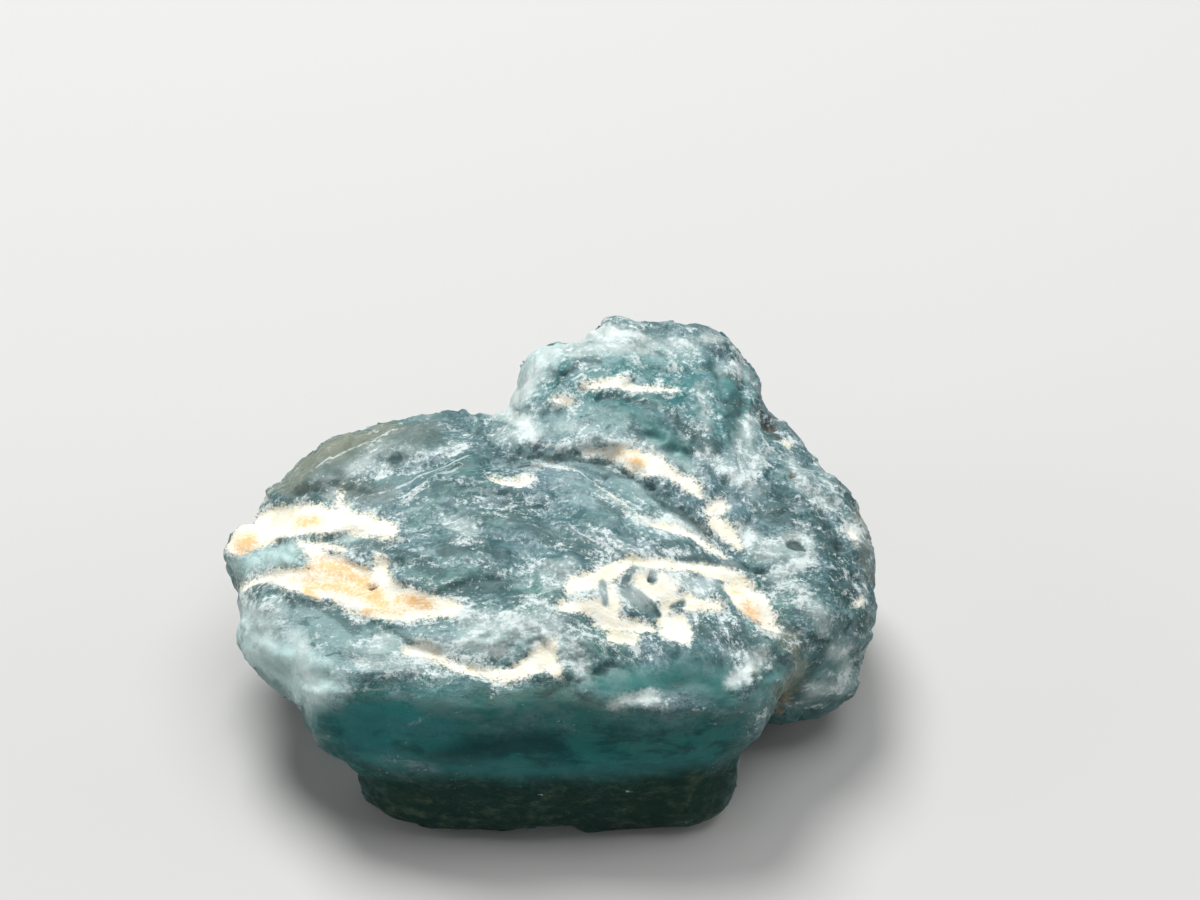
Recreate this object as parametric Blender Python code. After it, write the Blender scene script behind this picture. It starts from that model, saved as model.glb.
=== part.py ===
"""A rough grandidierite crystal: one waterworn, lumpy stone that rests on a small flat foot.

The stone is modelled in millimetres and written in metres, +Z up. Its front faces -Y. The middle
of its box lies on the Z axis, and its flat foot lies on Z = 0.
"""

from collections import namedtuple

import bmesh
import bpy
import numpy as np
from mathutils import Vector, noise

MM = 0.001
STONE_NAME = "crystal"

# The starting ball: a squashed sphere whose points slide along rays to the surface of the stone.
BALL_SUBDIVISIONS = 7
BALL_RADII = np.array([13.0, 10.5, 5.6])
BALL_CENTRE = np.array([0.3, -0.6, 4.6])
FARTHEST = 1.6
RAY_STEPS = 80
HALVINGS = 12

# Worn flats and undersides: planes, each with its outward normal and its distance from the origin.
PLANES = {
    "left underside": ((-0.70, -0.50, -0.52), 8.7),
    "right underside": ((0.88, -0.32, -0.34), 8.85),
    "lobe slope": ((0.02, -0.25, 0.97), 7.55),
    "lobe right face": ((0.76, 0.10, 0.64), 12.65),
    "lobe left face": ((-0.62, 0.05, 0.78), 9.0),
    "right rim": ((0.80, 0.05, 0.60), 13.9),
}

# The lumps that the stone is grown from, each a rounded box between an ellipsoid and a brick. A
# lump is trimmed by the planes it names.
Lump = namedtuple("Lump", "name centre radii turn square trims", defaults=((),))
LUMPS = (
    Lump("plateau", (-0.6, -0.6, 5.3), (9.6, 8.6, 3.0), 0, 2.2, ("left underside",)),
    Lump("left shoulder", (-4.9, 2.4, 5.45), (6.4, 5.35, 2.85), 24, 2.1, ("left underside",)),
    Lump("left tip", (-9.6, 0.3, 5.35), (3.2, 2.5, 1.55), 15, 2.0),
    Lump("left skirt", (-7.3, -2.9, 4.95), (4.7, 4.2, 2.85), -20, 2.4, ("left underside",)),
    Lump("front skirt", (0.3, -5.2, 5.4), (9.8, 4.8, 2.9), 0, 3.0, ("left underside", "right underside")),
    Lump("front lip", (-0.4, -5.0, 4.3), (8.9, 5.5, 1.9), 0, 3.4, ("left underside", "right underside")),
    Lump("back lobe", (2.7, 5.4, 5.95), (4.2, 5.15, 4.75), 0, 3.6, ("lobe slope", "lobe left face")),
    Lump("lobe east", (5.1, 5.3, 6.0), (3.8, 6.5, 4.95), 0, 4.0, ("lobe slope", "lobe right face")),
    Lump("lobe corner", (7.9, 4.6, 5.1), (3.2, 3.5, 2.6), 30, 2.2),
    Lump("right shoulder", (8.2, 0.1, 4.85), (5.45, 6.25, 3.0), 0, 2.2, ("right rim",)),
    Lump("right knob", (9.7, -3.05, 2.7), (3.0, 2.85, 1.85), 0, 2.2),
    Lump("foot", (0.2, -4.4, 1.7), (7.6, 5.85, 3.4), 0, 5.0),
    Lump("waist", (-0.3, -4.7, 3.3), (7.9, 5.55, 1.6), 0, 4.2, ("left underside", "right underside")),
    Lump("rear foot", (1.0, 0.4, 2.2), (5.6, 4.6, 2.8), 0, 2.4),
)
SQUARE_UP = 2.5
BLEND = 0.35

# Ledges on the top: the ground on the left of the line, walking along it, stands higher.
Ledge = namedtuple("Ledge", "name line height width reach")
LEDGES = (
    Ledge("lobe ledge", ((-3.6, 3.7), (-2.0, 2.9), (0.4, 2.8), (2.9, 2.5), (3.9, 1.5), (5.3, -0.1),
                         (6.5, -1.5), (7.7, -3.5)), 0.6, 0.28, 2.4),
    Ledge("left step", ((-12.0, -2.4), (-9.6, -2.0), (-7.6, -2.6), (-5.6, -3.4), (-4.6, -4.4)), 0.3, 0.28, 1.6),
)

# Grooves on the top, open V-shaped hollows with soft sides.
Groove = namedtuple("Groove", "name line depth width")
GROOVES = (
    Groove("front groove", ((-6.4, -6.6), (-4.4, -7.6), (-2.2, -8.5), (-0.6, -8.2), (0.4, -6.8)), 0.35, 0.5),
    Groove("hollow behind the front", ((1.2, -6.2), (3.2, -6.9), (5.2, -6.2), (7.0, -5.6)), 0.3, 0.7),
    Groove("crown dip", ((4.2, 12.4), (4.3, 10.4), (4.5, 8.0), (5.2, 5.4)), 0.5, 0.8),
    Groove("left hollow", ((-12.2, 0.2), (-10.4, 0.9), (-8.4, 0.6), (-6.4, 0.2)), 0.3, 0.7),
)

# Pits: round hollows anywhere on the stone.
Pit = namedtuple("Pit", "name centre radius depth")
PITS = (
    Pit("corner pit", (9.3, 5.9, 7.4), 0.7, 0.45),
    Pit("oval pit", (10.0, -2.3, 7.3), 0.35, 0.3),
    Pit("foot notch", (0.3, -9.75, -0.3), 1.6, 1.2),
)

# Worn lumps and flow ridges all over: height, size and how far they are drawn out along X.
Roughness = namedtuple("Roughness", "height size stretch seed")
ROUGHNESS = (
    Roughness(0.40, 4.2, 1.5, 3),
    Roughness(0.21, 1.9, 2.2, 11),
    Roughness(0.09, 0.9, 1.8, 29),
)
FLOW_TURN = np.radians(-14)
SIDE_ROUGHNESS = 0.6
LEDGE_WOBBLE = 0.4
LEDGE_WOBBLE_SIZE = 1.7

TRIANGLES = 9600

BODY_COLOUR = (0.055, 0.19, 0.19, 1.0)
BODY_ROUGHNESS = 0.38


def clear_scene():
    """Removes whatever the scene holds."""
    for thing in list(bpy.data.objects):
        bpy.data.objects.remove(thing, do_unlink=True)


def smooth_step(low, high, value):
    """Rises from 0 to 1 as the value goes from low to high, with no corner at either end."""
    share = np.clip((value - low) / (high - low), 0, 1)
    return share * share * (3 - 2 * share)


def soft_max(first, second):
    """The larger of two distances, with the corner between them rounded."""
    return BLEND * np.logaddexp(first / BLEND, second / BLEND)


def lump_distance(points, lump):
    """How far each point lies outside the lump, measured along the ray from its centre."""
    turn = np.radians(lump.turn)
    local = points - np.array(lump.centre)
    along = local[:, 0] * np.cos(turn) + local[:, 1] * np.sin(turn)
    across = local[:, 1] * np.cos(turn) - local[:, 0] * np.sin(turn)
    scaled = np.abs(np.column_stack([along, across, local[:, 2]]) / np.array(lump.radii))
    plan = (scaled[:, 0] ** lump.square + scaled[:, 1] ** lump.square) ** (1 / lump.square)
    level = (plan**SQUARE_UP + scaled[:, 2] ** SQUARE_UP) ** (1 / SQUARE_UP)
    length = np.linalg.norm(local, axis=1)
    return length - length / np.maximum(level, 1e-6)


def outside(points):
    """The distance outside the whole stone: a soft union of the trimmed lumps."""
    nearness = np.zeros(len(points))
    for lump in LUMPS:
        distance = lump_distance(points, lump)
        for trim in lump.trims:
            normal, reach = PLANES[trim]
            distance = soft_max(distance, points @ np.array(normal) - reach)
        nearness += np.exp(-np.clip(distance, -8, 30) / BLEND)
    return -BLEND * np.log(nearness)


def slide_to_surface(directions):
    """Brings each ray's point in from far away to the stone's surface."""
    reach = np.full(len(directions), FARTHEST)
    step = FARTHEST / RAY_STEPS
    for _ in range(RAY_STEPS):
        away = outside(BALL_CENTRE + directions * reach[:, None]) > 0
        reach = np.where(away, reach - step, reach)
    near, far = reach, reach + step
    for _ in range(HALVINGS):
        middle = (near + far) / 2
        away = outside(BALL_CENTRE + directions * middle[:, None]) > 0
        near, far = np.where(away, near, middle), np.where(away, middle, far)
    return BALL_CENTRE + directions * near[:, None]


def side_of_line(points, line):
    """Each point's distance in plan from a line of points, positive on its left, and how far along it lies."""
    nearest = np.full(len(points), np.inf)
    signed = np.zeros(len(points))
    along = np.zeros(len(points))
    stretches = list(zip(line[:-1], line[1:]))
    for index, (start, end) in enumerate(stretches):
        start, end = np.array(start), np.array(end)
        run = end - start
        offset = points[:, :2] - start
        share = np.clip(offset @ run / (run @ run), 0, 1)
        gap = offset - share[:, None] * run
        distance = np.hypot(gap[:, 0], gap[:, 1])
        left = np.sign(run[0] * offset[:, 1] - run[1] * offset[:, 0])
        closer = distance < nearest
        nearest = np.where(closer, distance, nearest)
        signed = np.where(closer, distance * left, signed)
        along = np.where(closer, (index + share) / len(stretches), along)
    return signed, along


def fade_at_ends(along):
    """1 along the middle of a line and 0 at both of its ends."""
    return smooth_step(0.0, 0.25, along) * smooth_step(1.0, 0.75, along)


def relief(points, normals):
    """How far each point of the smooth stone moves out along its normal."""
    height = np.zeros(len(points))
    upward = smooth_step(0.2, 0.6, normals[:, 2])
    wobble = LEDGE_WOBBLE * np.array([noise.noise(Vector(spot)) for spot in points / LEDGE_WOBBLE_SIZE])
    for ledge in LEDGES:
        side, along = side_of_line(points, ledge.line)
        side += wobble
        rise = smooth_step(-ledge.width, ledge.width, side) * np.exp(-np.maximum(side, 0) / ledge.reach)
        hollow = np.exp(-(((side + 2 * ledge.width) / (2 * ledge.width)) ** 2))
        height += ledge.height * fade_at_ends(along) * upward * (rise - 0.3 * hollow)
    for groove in GROOVES:
        side, along = side_of_line(points, groove.line)
        height -= groove.depth * fade_at_ends(along) * upward * np.exp(-((side / groove.width) ** 2))
    for pit in PITS:
        distance = np.linalg.norm(points - np.array(pit.centre), axis=1)
        height -= pit.depth * smooth_step(pit.radius, 0.0, distance)
    return height + worn_lumps(points) * (SIDE_ROUGHNESS + (1 - SIDE_ROUGHNESS) * upward)


def worn_lumps(points):
    """Rounded lumps with creases between them, drawn out along the flow of the stone."""
    along = points[:, 0] * np.cos(FLOW_TURN) + points[:, 1] * np.sin(FLOW_TURN)
    across = points[:, 1] * np.cos(FLOW_TURN) - points[:, 0] * np.sin(FLOW_TURN)
    height = np.zeros(len(points))
    for layer in ROUGHNESS:
        spots = np.column_stack([along / layer.stretch, across, points[:, 2]]) / layer.size + layer.seed
        lumps = np.array([abs(noise.noise(Vector(spot))) for spot in spots])
        height += layer.height * (2 * lumps - 0.5)
    return height


def flatten_foot(points):
    """Points below Z = 0 move back up their rays to it, which gives the stone its flat spot."""
    share = BALL_CENTRE[2] / (BALL_CENTRE[2] - np.minimum(points[:, 2], 0))
    return BALL_CENTRE + (points - BALL_CENTRE) * share[:, None]


def normals_of(ball):
    ball.normal_update()
    return np.array([vertex.normal for vertex in ball.verts])


def place(ball, points):
    for vertex, point in zip(ball.verts, points):
        vertex.co = Vector(point)


def centred(points):
    """The points moved in plan so that the middle of their box is on the Z axis."""
    middle = (points.min(axis=0) + points.max(axis=0)) / 2
    return points - np.array([middle[0], middle[1], 0])


def stone_mesh():
    """The whole stone as one closed mesh, in metres."""
    ball = bmesh.new()
    bmesh.ops.create_icosphere(ball, subdivisions=BALL_SUBDIVISIONS, radius=1.0)
    directions = np.array([vertex.co for vertex in ball.verts]) * BALL_RADII
    points = slide_to_surface(directions)
    place(ball, points)
    normals = normals_of(ball)
    points = flatten_foot(points + normals * relief(points, normals)[:, None])
    place(ball, centred(points) * MM)
    mesh = bpy.data.meshes.new(STONE_NAME)
    ball.to_mesh(mesh)
    ball.free()
    return mesh


def stone_material():
    """Dull blue-green stone with a waxy gloss."""
    material = bpy.data.materials.new("grandidierite")
    material.use_nodes = True
    shader = material.node_tree.nodes["Principled BSDF"]
    shader.inputs["Base Color"].default_value = BODY_COLOUR
    shader.inputs["Roughness"].default_value = BODY_ROUGHNESS
    shader.inputs["Metallic"].default_value = 0.0
    material.diffuse_color = BODY_COLOUR
    return material


def thin_out(stone):
    """Fewer triangles where the surface is flat, and more at ledges and creases."""
    thinner = stone.modifiers.new("Thin out", "DECIMATE")
    thinner.decimate_type = "COLLAPSE"
    thinner.ratio = TRIANGLES / len(stone.data.polygons)


def build():
    clear_scene()
    mesh = stone_mesh()
    mesh.materials.append(stone_material())
    mesh.shade_smooth()
    stone = bpy.data.objects.new(STONE_NAME, mesh)
    bpy.context.collection.objects.link(stone)
    thin_out(stone)


build()
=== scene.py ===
"""Looks of the grandidierite crystal: fine relief, crusts, streaks and scratches, with its floor and lights.

Lengths are in millimetres unless a name says otherwise, and are turned into metres where a mesh is written.
Marks are named strokes in pixels of the 1200 x 900 photograph. They are laid on the surface that the
camera sees there, and noise in the surface itself carries the weathering round the sides and the back.
"""

import math

import bpy
import numpy as np
from collections import namedtuple
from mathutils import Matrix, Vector, noise
from mathutils.bvhtree import BVHTree


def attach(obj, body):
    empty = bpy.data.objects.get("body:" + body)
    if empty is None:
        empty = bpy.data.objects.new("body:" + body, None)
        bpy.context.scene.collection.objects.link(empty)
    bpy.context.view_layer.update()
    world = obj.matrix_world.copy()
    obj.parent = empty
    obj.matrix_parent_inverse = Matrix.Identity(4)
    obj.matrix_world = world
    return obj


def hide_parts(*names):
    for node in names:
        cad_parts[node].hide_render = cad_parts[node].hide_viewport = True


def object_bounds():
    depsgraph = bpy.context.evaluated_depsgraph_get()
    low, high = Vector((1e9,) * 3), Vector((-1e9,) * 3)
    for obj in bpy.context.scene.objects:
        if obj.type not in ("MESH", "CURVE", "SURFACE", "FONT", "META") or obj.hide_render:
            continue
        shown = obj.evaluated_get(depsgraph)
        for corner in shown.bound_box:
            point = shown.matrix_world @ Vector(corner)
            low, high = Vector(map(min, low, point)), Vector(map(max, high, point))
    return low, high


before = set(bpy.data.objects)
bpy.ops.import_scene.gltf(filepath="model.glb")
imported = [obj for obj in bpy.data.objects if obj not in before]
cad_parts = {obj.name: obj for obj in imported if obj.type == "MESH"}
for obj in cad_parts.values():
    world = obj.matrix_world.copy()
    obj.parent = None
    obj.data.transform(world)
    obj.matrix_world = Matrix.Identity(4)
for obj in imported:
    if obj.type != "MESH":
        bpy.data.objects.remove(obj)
cad_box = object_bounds()

# Names
NODE = "crystal"
PIECE = "crystal_stone"

# Units
MM = 0.001

# Camera, as the photograph was taken
IMAGE_WIDTH = 1200
IMAGE_HEIGHT = 900
LENS_MM = 70.0
SENSOR_MM = 36.0
CAMERA_PLACE = (1.97, -70.16, 69.55)
CAMERA_TILT_DEG = 50.0

# Fine mesh
VOXEL = 0.14
SMOOTH_PASSES = 4
SMOOTH_FACTOR = 0.5

# Relief, as amplitude, size and seed
FLOW_TURN_DEG = -14.0
FLOW_HEIGHT = 0.07
FLOW_SIZE = (4.6, 1.0, 0.9)
SWIRL_RELIEF = ((0.11, (2.2, 0.62), 3), (0.06, (1.0, 0.34), 13))
LUMP_RELIEF = ((0.12, 2.3, 5), (0.08, 1.1, 17), (0.055, 0.55, 31))
CHIP_HEIGHT = 0.30
CHIP_SIZE = (2.0, 1.1, 1.1)
SMALL_CHIP_HEIGHT = 0.16
SMALL_CHIP_SIZE = (0.95, 0.55, 0.6)
CHIP_TILT_SEED = 5.1
CHIP_TONE_SEED = 3.7
BEND_SIZE = 3.0
BEND_REACH = 0.5
CRUST_SINK = 0.04
CRUST_CALM = 0.6
PIT_SINK = 0.22
FOOT_CALM_HEIGHT = 0.5

# Flow of the grain on top: arcs about one pixel for the plateau and about another for the back lobe
PIXELS_PER_MM = 25.0
SWIRL_CENTRE = (513.0, 755.0)
LOBE_CENTRE = (620.0, 520.0)
LOBE_EDGE = ((470, 432), (500, 450), (522, 456), (560, 460), (605, 464), (626, 471), (645, 485), (662, 497),
             (682, 509), (705, 530), (745, 566), (770, 640), (800, 720))
LEFT_FRONT_Y = (500.0, 570.0)
LEFT_FRONT_X = (430.0, 560.0)
FRONT_Y = (650.0, 700.0)
SHOULDER_X = (735.0, 775.0)

# Steps in the surface: a line in pixels walked from left to right, how much higher its far side stands
# than its near side, and how far from the line that fades
Step = namedtuple("Step", "name line height reach")
STEPS = (
    Step("lobe foot", ((500, 453), (560, 459), (605, 463), (626, 470), (645, 484), (662, 496), (682, 508),
                       (705, 530), (745, 562)), 0.06, 8.0),
    Step("sheet edge", ((533, 462), (560, 467), (580, 473), (604, 493), (625, 506), (643, 519), (657, 528),
                        (676, 531), (698, 538), (712, 550), (735, 566)), -0.13, 10.0),
    Step("middle edge", ((560, 542), (590, 541), (606, 547), (616, 556)), 0.12, 8.0),
    Step("left upper edge", ((284, 541), (300, 540), (330, 537), (352, 528), (372, 536),
                             (398, 539)), 0.26, 10.0),
    Step("left pocket", ((345, 552), (362, 563), (380, 551), (394, 553)), -0.16, 8.0),
    Step("brow", ((296, 598), (318, 606), (340, 604), (362, 612), (378, 624), (402, 638), (430, 644),
                  (455, 658), (480, 672), (508, 683), (540, 681), (562, 677)), 0.14, 14.0),
    Step("lobe ridge", ((520, 436), (560, 404), (600, 397), (640, 402), (664, 412), (690, 434), (712, 462),
                        (730, 490)), 0.18, 9.0),
    Step("lobe line", ((560, 386), (600, 393), (640, 397), (680, 399), (702, 406)), 0.12, 7.0),
    Step("shoulder edge", ((760, 500), (790, 497), (812, 512), (845, 520)), 0.12, 8.0),
    Step("rim", ((813, 451), (822, 470), (829, 487), (836, 504), (842, 516)), -0.16, 7.0),
    Step("band edge", ((700, 568), (745, 575), (762, 586), (780, 612), (790, 630)), -0.16, 8.0),
    Step("cleavage one", ((410, 520), (440, 542), (480, 542), (500, 552)), 0.14, 9.0),
    Step("cleavage two", ((400, 460), (440, 454), (470, 446), (510, 444)), 0.12, 7.0),
    Step("cleavage three", ((440, 590), (480, 578), (540, 584), (570, 572)), 0.14, 9.0),
    Step("cleavage four", ((480, 480), (515, 492), (560, 496), (600, 520)), -0.12, 8.0),
    Step("cleavage five", ((300, 490), (340, 484), (374, 496), (420, 480)), 0.12, 8.0),
    Step("lobe strand one", ((702, 350), (716, 380), (722, 420), (740, 470)), -0.14, 8.0),
    Step("lobe strand two", ((745, 372), (742, 410), (748, 450), (764, 484)), 0.14, 8.0),
)
STEP_WIDTH = 3.0

# Where a mark from the photograph may lie: cosine of the angle between surface and view
SEEN_FROM = -0.20
SEEN_FULLY = -0.02
HIDDEN_BY = 0.8
UNSEEN_PENALTY = 40.0
FIELD_REACH = 30.0

# Crusts: strokes of x, y, radius in pixels
CRUSTS = {
    "left upper": ((236, 546, 10), (258, 531, 15), (280, 523, 17), (305, 520, 17), (325, 521, 14),
                   (345, 521, 10), (370, 527, 10), (392, 532, 8)),
    "left large": ((312, 550, 7), (322, 562, 12), (336, 579, 23), (365, 593, 23), (388, 601, 21),
                   (408, 604, 17), (430, 606, 12), (454, 608, 8)),
    "left horn": ((377, 555, 3), (383, 563, 6), (380, 574, 8), (390, 588, 8)),
    "left tail": ((320, 584, 17), (300, 581, 12), (275, 577, 6), (255, 581, 4), (244, 588, 3)),
    "left bridge": ((300, 543, 3), (322, 545, 4), (341, 549, 4)),
    "left spur": ((341, 495, 4), (339, 506, 4), (349, 516, 5)),
    "brow left": ((408, 651, 6), (425, 651, 8), (438, 657, 5), (458, 666, 4), (482, 673, 5), (505, 677, 5)),
    "brow right": ((505, 677, 6), (520, 672, 8), (536, 662, 12), (549, 652, 9), (554, 642, 4)),
    "brow end": ((549, 662, 9), (556, 672, 7)),
    "net one": ((572, 586, 8), (590, 582, 9), (608, 573, 9), (624, 566, 6)),
    "net two": ((563, 607, 6), (586, 607, 6), (597, 609, 10), (606, 618, 13), (616, 624, 9)),
    "net three": ((618, 624, 7), (634, 626, 7), (650, 630, 5)),
    "net four": ((612, 636, 6), (632, 641, 6)),
    "ring": ((640, 582, 8), (654, 586, 15), (664, 592, 13), (668, 604, 8), (662, 614, 6)),
    "net blob": ((666, 622, 10), (674, 628, 15), (682, 634, 11)),
    "net right": ((674, 598, 6), (690, 604, 8), (704, 606, 7), (718, 606, 6)),
    "band top": ((628, 562, 5), (661, 564, 5), (690, 568, 5), (711, 572, 8), (733, 578, 8), (748, 584, 5)),
    "band": ((728, 588, 6), (742, 596, 13), (754, 606, 14), (766, 618, 9)),
    "band end": ((764, 626, 5), (774, 630, 5)),
    "ledge left": ((586, 452, 3), (604, 452, 5), (624, 455, 9), (640, 463, 11), (656, 466, 11), (666, 471, 6)),
    "ledge mid": ((672, 475, 6), (685, 483, 7), (695, 490, 7), (701, 498, 3)),
    "ledge knob": ((711, 511, 7), (720, 507, 7)),
    "ledge right": ((714, 521, 7), (727, 533, 8), (739, 546, 5)),
    "lobe streak": ((585, 387, 3), (600, 386, 5), (618, 383, 6), (640, 390, 4), (676, 393, 2)),
    "lobe dash": ((556, 402, 3), (569, 401, 4)),
    "shoulder spot": ((784, 443, 3), (788, 445, 3)),
    "rim patch": ((847, 530, 3), (853, 537, 4)),
    "rim low patch": ((856, 604, 2), (863, 600, 3)),
    "vein patch": ((644, 521, 2), (654, 526, 4), (676, 531, 5), (695, 538, 4), (708, 549, 4), (724, 558, 2)),
    "centre dash": ((488, 479, 1), (504, 484, 3), (519, 485, 5), (530, 480, 4)),
    "net arm": ((610, 590, 5), (614, 602, 6), (614, 612, 7)),
    "sheet line": ((533, 464, -2), (572, 472, -1), (590, 483, -1), (604, 494, 0), (626, 509, 0), (644, 521, 2)),
}

# Rust and orange inside the crusts
RUSTS = {
    "left tip": ((240, 546, 7), (250, 540, 5)),
    "left upper": ((300, 521, 4), (314, 522, 5)),
    "left seam": ((296, 569, 2), (324, 564, 5), (345, 569, 7), (364, 581, 6), (380, 596, 4)),
    "left glow": ((310, 582, 3), (345, 590, 4), (385, 603, 4)),
    "left knot": ((306, 590, 4), (314, 598, 5)),
    "left end": ((396, 600, 4), (412, 601, 5), (426, 604, 3)),
    "left low": ((366, 612, 3), (396, 612, 3)),
    "ledge": ((622, 455, 2), (632, 458, 4), (640, 462, 4)),
    "band one": ((732, 588, 3), (736, 592, 3)),
    "band core": ((747, 604, 3), (751, 612, 8), (756, 624, 4)),
    "corner": ((769, 405, 3), (774, 412, 3)),
    "crease": ((776, 712, 5), (783, 704, 6), (790, 694, 4)),
    "front blur": ((611, 708, 2), (618, 706, 3)),
}

# Yellow-green and olive tints
OLIVES = {
    "left tail": ((243, 586, 8), (262, 580, 9), (290, 575, 7), (304, 574, 4)),
    "left gap": ((308, 548, 5), (318, 552, 5)),
    "upper hollow": ((325, 531, 4), (350, 531, 6)),
    "upper spot": ((298, 506, 4), (304, 508, 3)),
    "end spot": ((424, 608, 4), (440, 611, 3)),
    "band end": ((776, 632, 8), (786, 642, 13), (794, 652, 7)),
    "left back rim": ((282, 486, 10), (306, 462, 14), (332, 448, 15), (362, 436, 12), (392, 428, 8)),
    "left back edge": ((262, 500, 6), (290, 474, 9)),
    "right rim": ((858, 515, 5), (866, 545, 5), (871, 580, 4)),
    "foot smudge left": ((390, 795, 8), (430, 800, 8)),
    "foot smudge middle": ((563, 790, 9), (574, 802, 10)),
    "foot smudge right": ((630, 806, 9), (680, 800, 12), (705, 790, 8)),
    "front tint": ((470, 700, 8), (500, 704, 8), (540, 698, 8), (590, 706, 10)),
    "front spot": ((540, 766, 6), (548, 766, 5)),
    "crease": ((783, 690, 8), (800, 664, 6)),
    "band top": ((694, 571, 5), (712, 574, 6), (728, 580, 5)),
}

# Milky, half clear areas
VEILS = {
    "saddle": ((492, 411, 8), (510, 414, 12), (524, 424, 12), (540, 438, 8), (500, 436, 8)),
    "crown": ((574, 341, 7), (600, 335, 9), (626, 332, 8), (640, 336, 5)),
    "crown lower": ((560, 352, 6), (600, 349, 7), (650, 346, 7), (690, 345, 6)),
    "lobe left flank": ((524, 400, 9), (533, 378, 10), (548, 358, 9)),
    "lobe low": ((560, 424, 5), (600, 438, 5), (640, 444, 5)),
    "ledge halo": ((560, 446, 5), (600, 442, 6), (650, 448, 6), (690, 470, 6)),
    "lobe right": ((722, 372, 6), (738, 368, 7), (752, 384, 5)),
    "corner": ((748, 424, 9), (742, 450, 12), (758, 462, 10), (742, 480, 9), (758, 492, 7)),
    "shoulder": ((790, 462, 7), (800, 480, 10), (815, 500, 9), (832, 506, 7)),
    "rim line": ((813, 451, 3), (822, 470, 4), (829, 487, 4), (836, 504, 5)),
    "rim patch": ((850, 528, 9), (856, 540, 7)),
    "cloud": ((745, 532, 9), (760, 552, 11), (786, 548, 10), (800, 560, 10), (775, 575, 8), (800, 590, 7)),
    "cloud low": ((800, 598, 7), (820, 612, 10), (824, 630, 8)),
    "left mid": ((445, 522, 8), (460, 528, 11), (472, 532, 8)),
    "left flecks": ((362, 466, 8), (376, 452, 8), (384, 448, 5)),
    "left streak": ((405, 455, 3), (440, 452, 4), (462, 446, 3)),
    "left spur": ((335, 500, 8), (350, 515, 9)),
    "left slope": ((244, 600, 10), (252, 625, 12), (272, 612, 14), (262, 650, 10)),
    "left slope low": ((290, 635, 10), (302, 645, 8), (300, 670, 9), (318, 690, 9)),
    "brow veil": ((384, 642, 12), (366, 664, 9), (410, 666, 8), (450, 650, 8), (472, 640, 14), (500, 650, 12)),
    "brow veil mid": ((458, 612, 10), (482, 626, 14), (520, 628, 16), (556, 624, 12), (545, 645, 12)),
    "brow veil low": ((566, 640, 8), (578, 656, 10), (584, 672, 7)),
    "middle veil": ((545, 570, 8), (570, 566, 7), (552, 590, 8)),
    "net halo": ((590, 590, 12), (640, 600, 12), (640, 570, 10), (700, 590, 12), (730, 570, 8)),
    "right milk": ((728, 654, 4), (744, 654, 4), (752, 670, 8), (736, 684, 8)),
    "front blur": ((612, 706, 3), (628, 700, 6), (650, 698, 7), (664, 704, 4)),
    "knob": ((812, 690, 8), (838, 684, 8), (846, 668, 6)),
    "knob upper": ((836, 652, 7), (850, 650, 6)),
    "plateau right": ((640, 520, 7), (672, 524, 8), (700, 532, 7)),
    "left edge": ((238, 596, 6), (246, 612, 10), (250, 630, 7)),
    "left back grains": ((352, 470, 6), (368, 466, 8), (384, 472, 6)),
    "lobe strands": ((700, 394, 8), (704, 412, 6), (706, 430, 5)),
    "lobe wisps": ((706, 452, 8), (722, 466, 10), (738, 480, 8)),
    "pit rim": ((788, 536, 4), (800, 536, 5), (808, 548, 5), (798, 555, 5), (786, 551, 3)),
    "brow milk": ((542, 612, 8), (552, 622, 8)),
    "slope streak": ((303, 636, 4), (300, 650, 5), (298, 660, 4)),
    "slope dots": ((262, 632, 4), (268, 636, 4)),
}

# Deep, dark teal and navy areas
DEEPS = {
    "lobe hollow": ((735, 400, 8), (732, 424, 9), (736, 446, 7)),
    "lobe spot": ((710, 368, 6), (716, 376, 4)),
    "lobe line": ((556, 386, 3), (580, 362, 4), (598, 362, 4)),
    "lobe shade": ((600, 396, 3), (640, 402, 4), (664, 412, 4), (690, 434, 4), (712, 462, 5)),
    "shoulder": ((760, 510, 9), (790, 516, 10), (782, 492, 8)),
    "shoulder mid": ((815, 526, 9), (830, 545, 9), (842, 562, 10), (836, 585, 9)),
    "shoulder low": ((846, 590, 8), (858, 590, 6), (860, 625, 9), (868, 620, 6)),
    "rim outside": ((838, 482, 6), (850, 502, 6), (861, 520, 4)),
    "plateau left": ((335, 470, 7), (345, 485, 8), (372, 492, 7)),
    "plateau green": ((505, 512, 8), (530, 522, 10), (552, 540, 8)),
    "plateau low": ((440, 548, 6), (480, 549, 8), (505, 556, 7)),
    "plateau low left": ((355, 545, 5), (372, 542, 7), (390, 548, 6), (415, 560, 8), (440, 575, 8)),
    "plateau mid": ((450, 590, 8), (490, 585, 9), (520, 600, 8)),
    "plateau slope": ((600, 505, 5), (620, 516, 6)),
    "band under": ((732, 630, 10), (748, 640, 10), (700, 630, 8)),
    # Painted shadow under the lower edge of the left crust
    "shadow under crust": ((340, 615, 8), (355, 628, 7), (325, 610, 4)),
    "left dark": ((286, 592, 5), (292, 606, 4)),
    # The three front marks below darken the front wall further: painted shade over the stone's own dark teal
    "front band": ((360, 745, 8), (420, 752, 10), (480, 748, 12), (540, 742, 12), (610, 745, 10)),
    "front upper": ((510, 722, 12), (480, 690, 8), (560, 712, 9)),
    "front right": ((700, 765, 8), (722, 752, 8), (740, 744, 4)),
    "crease": ((826, 645, 5), (806, 672, 6), (794, 700, 4)),
    "net above left": ((564, 546, 7), (584, 552, 12), (602, 560, 8)),
    "net above right": ((660, 549, 6), (680, 550, 8), (696, 553, 5)),
    "shoulder hollow": ((798, 496, 3), (814, 512, 7), (828, 534, 6), (834, 556, 3)),
}

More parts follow.
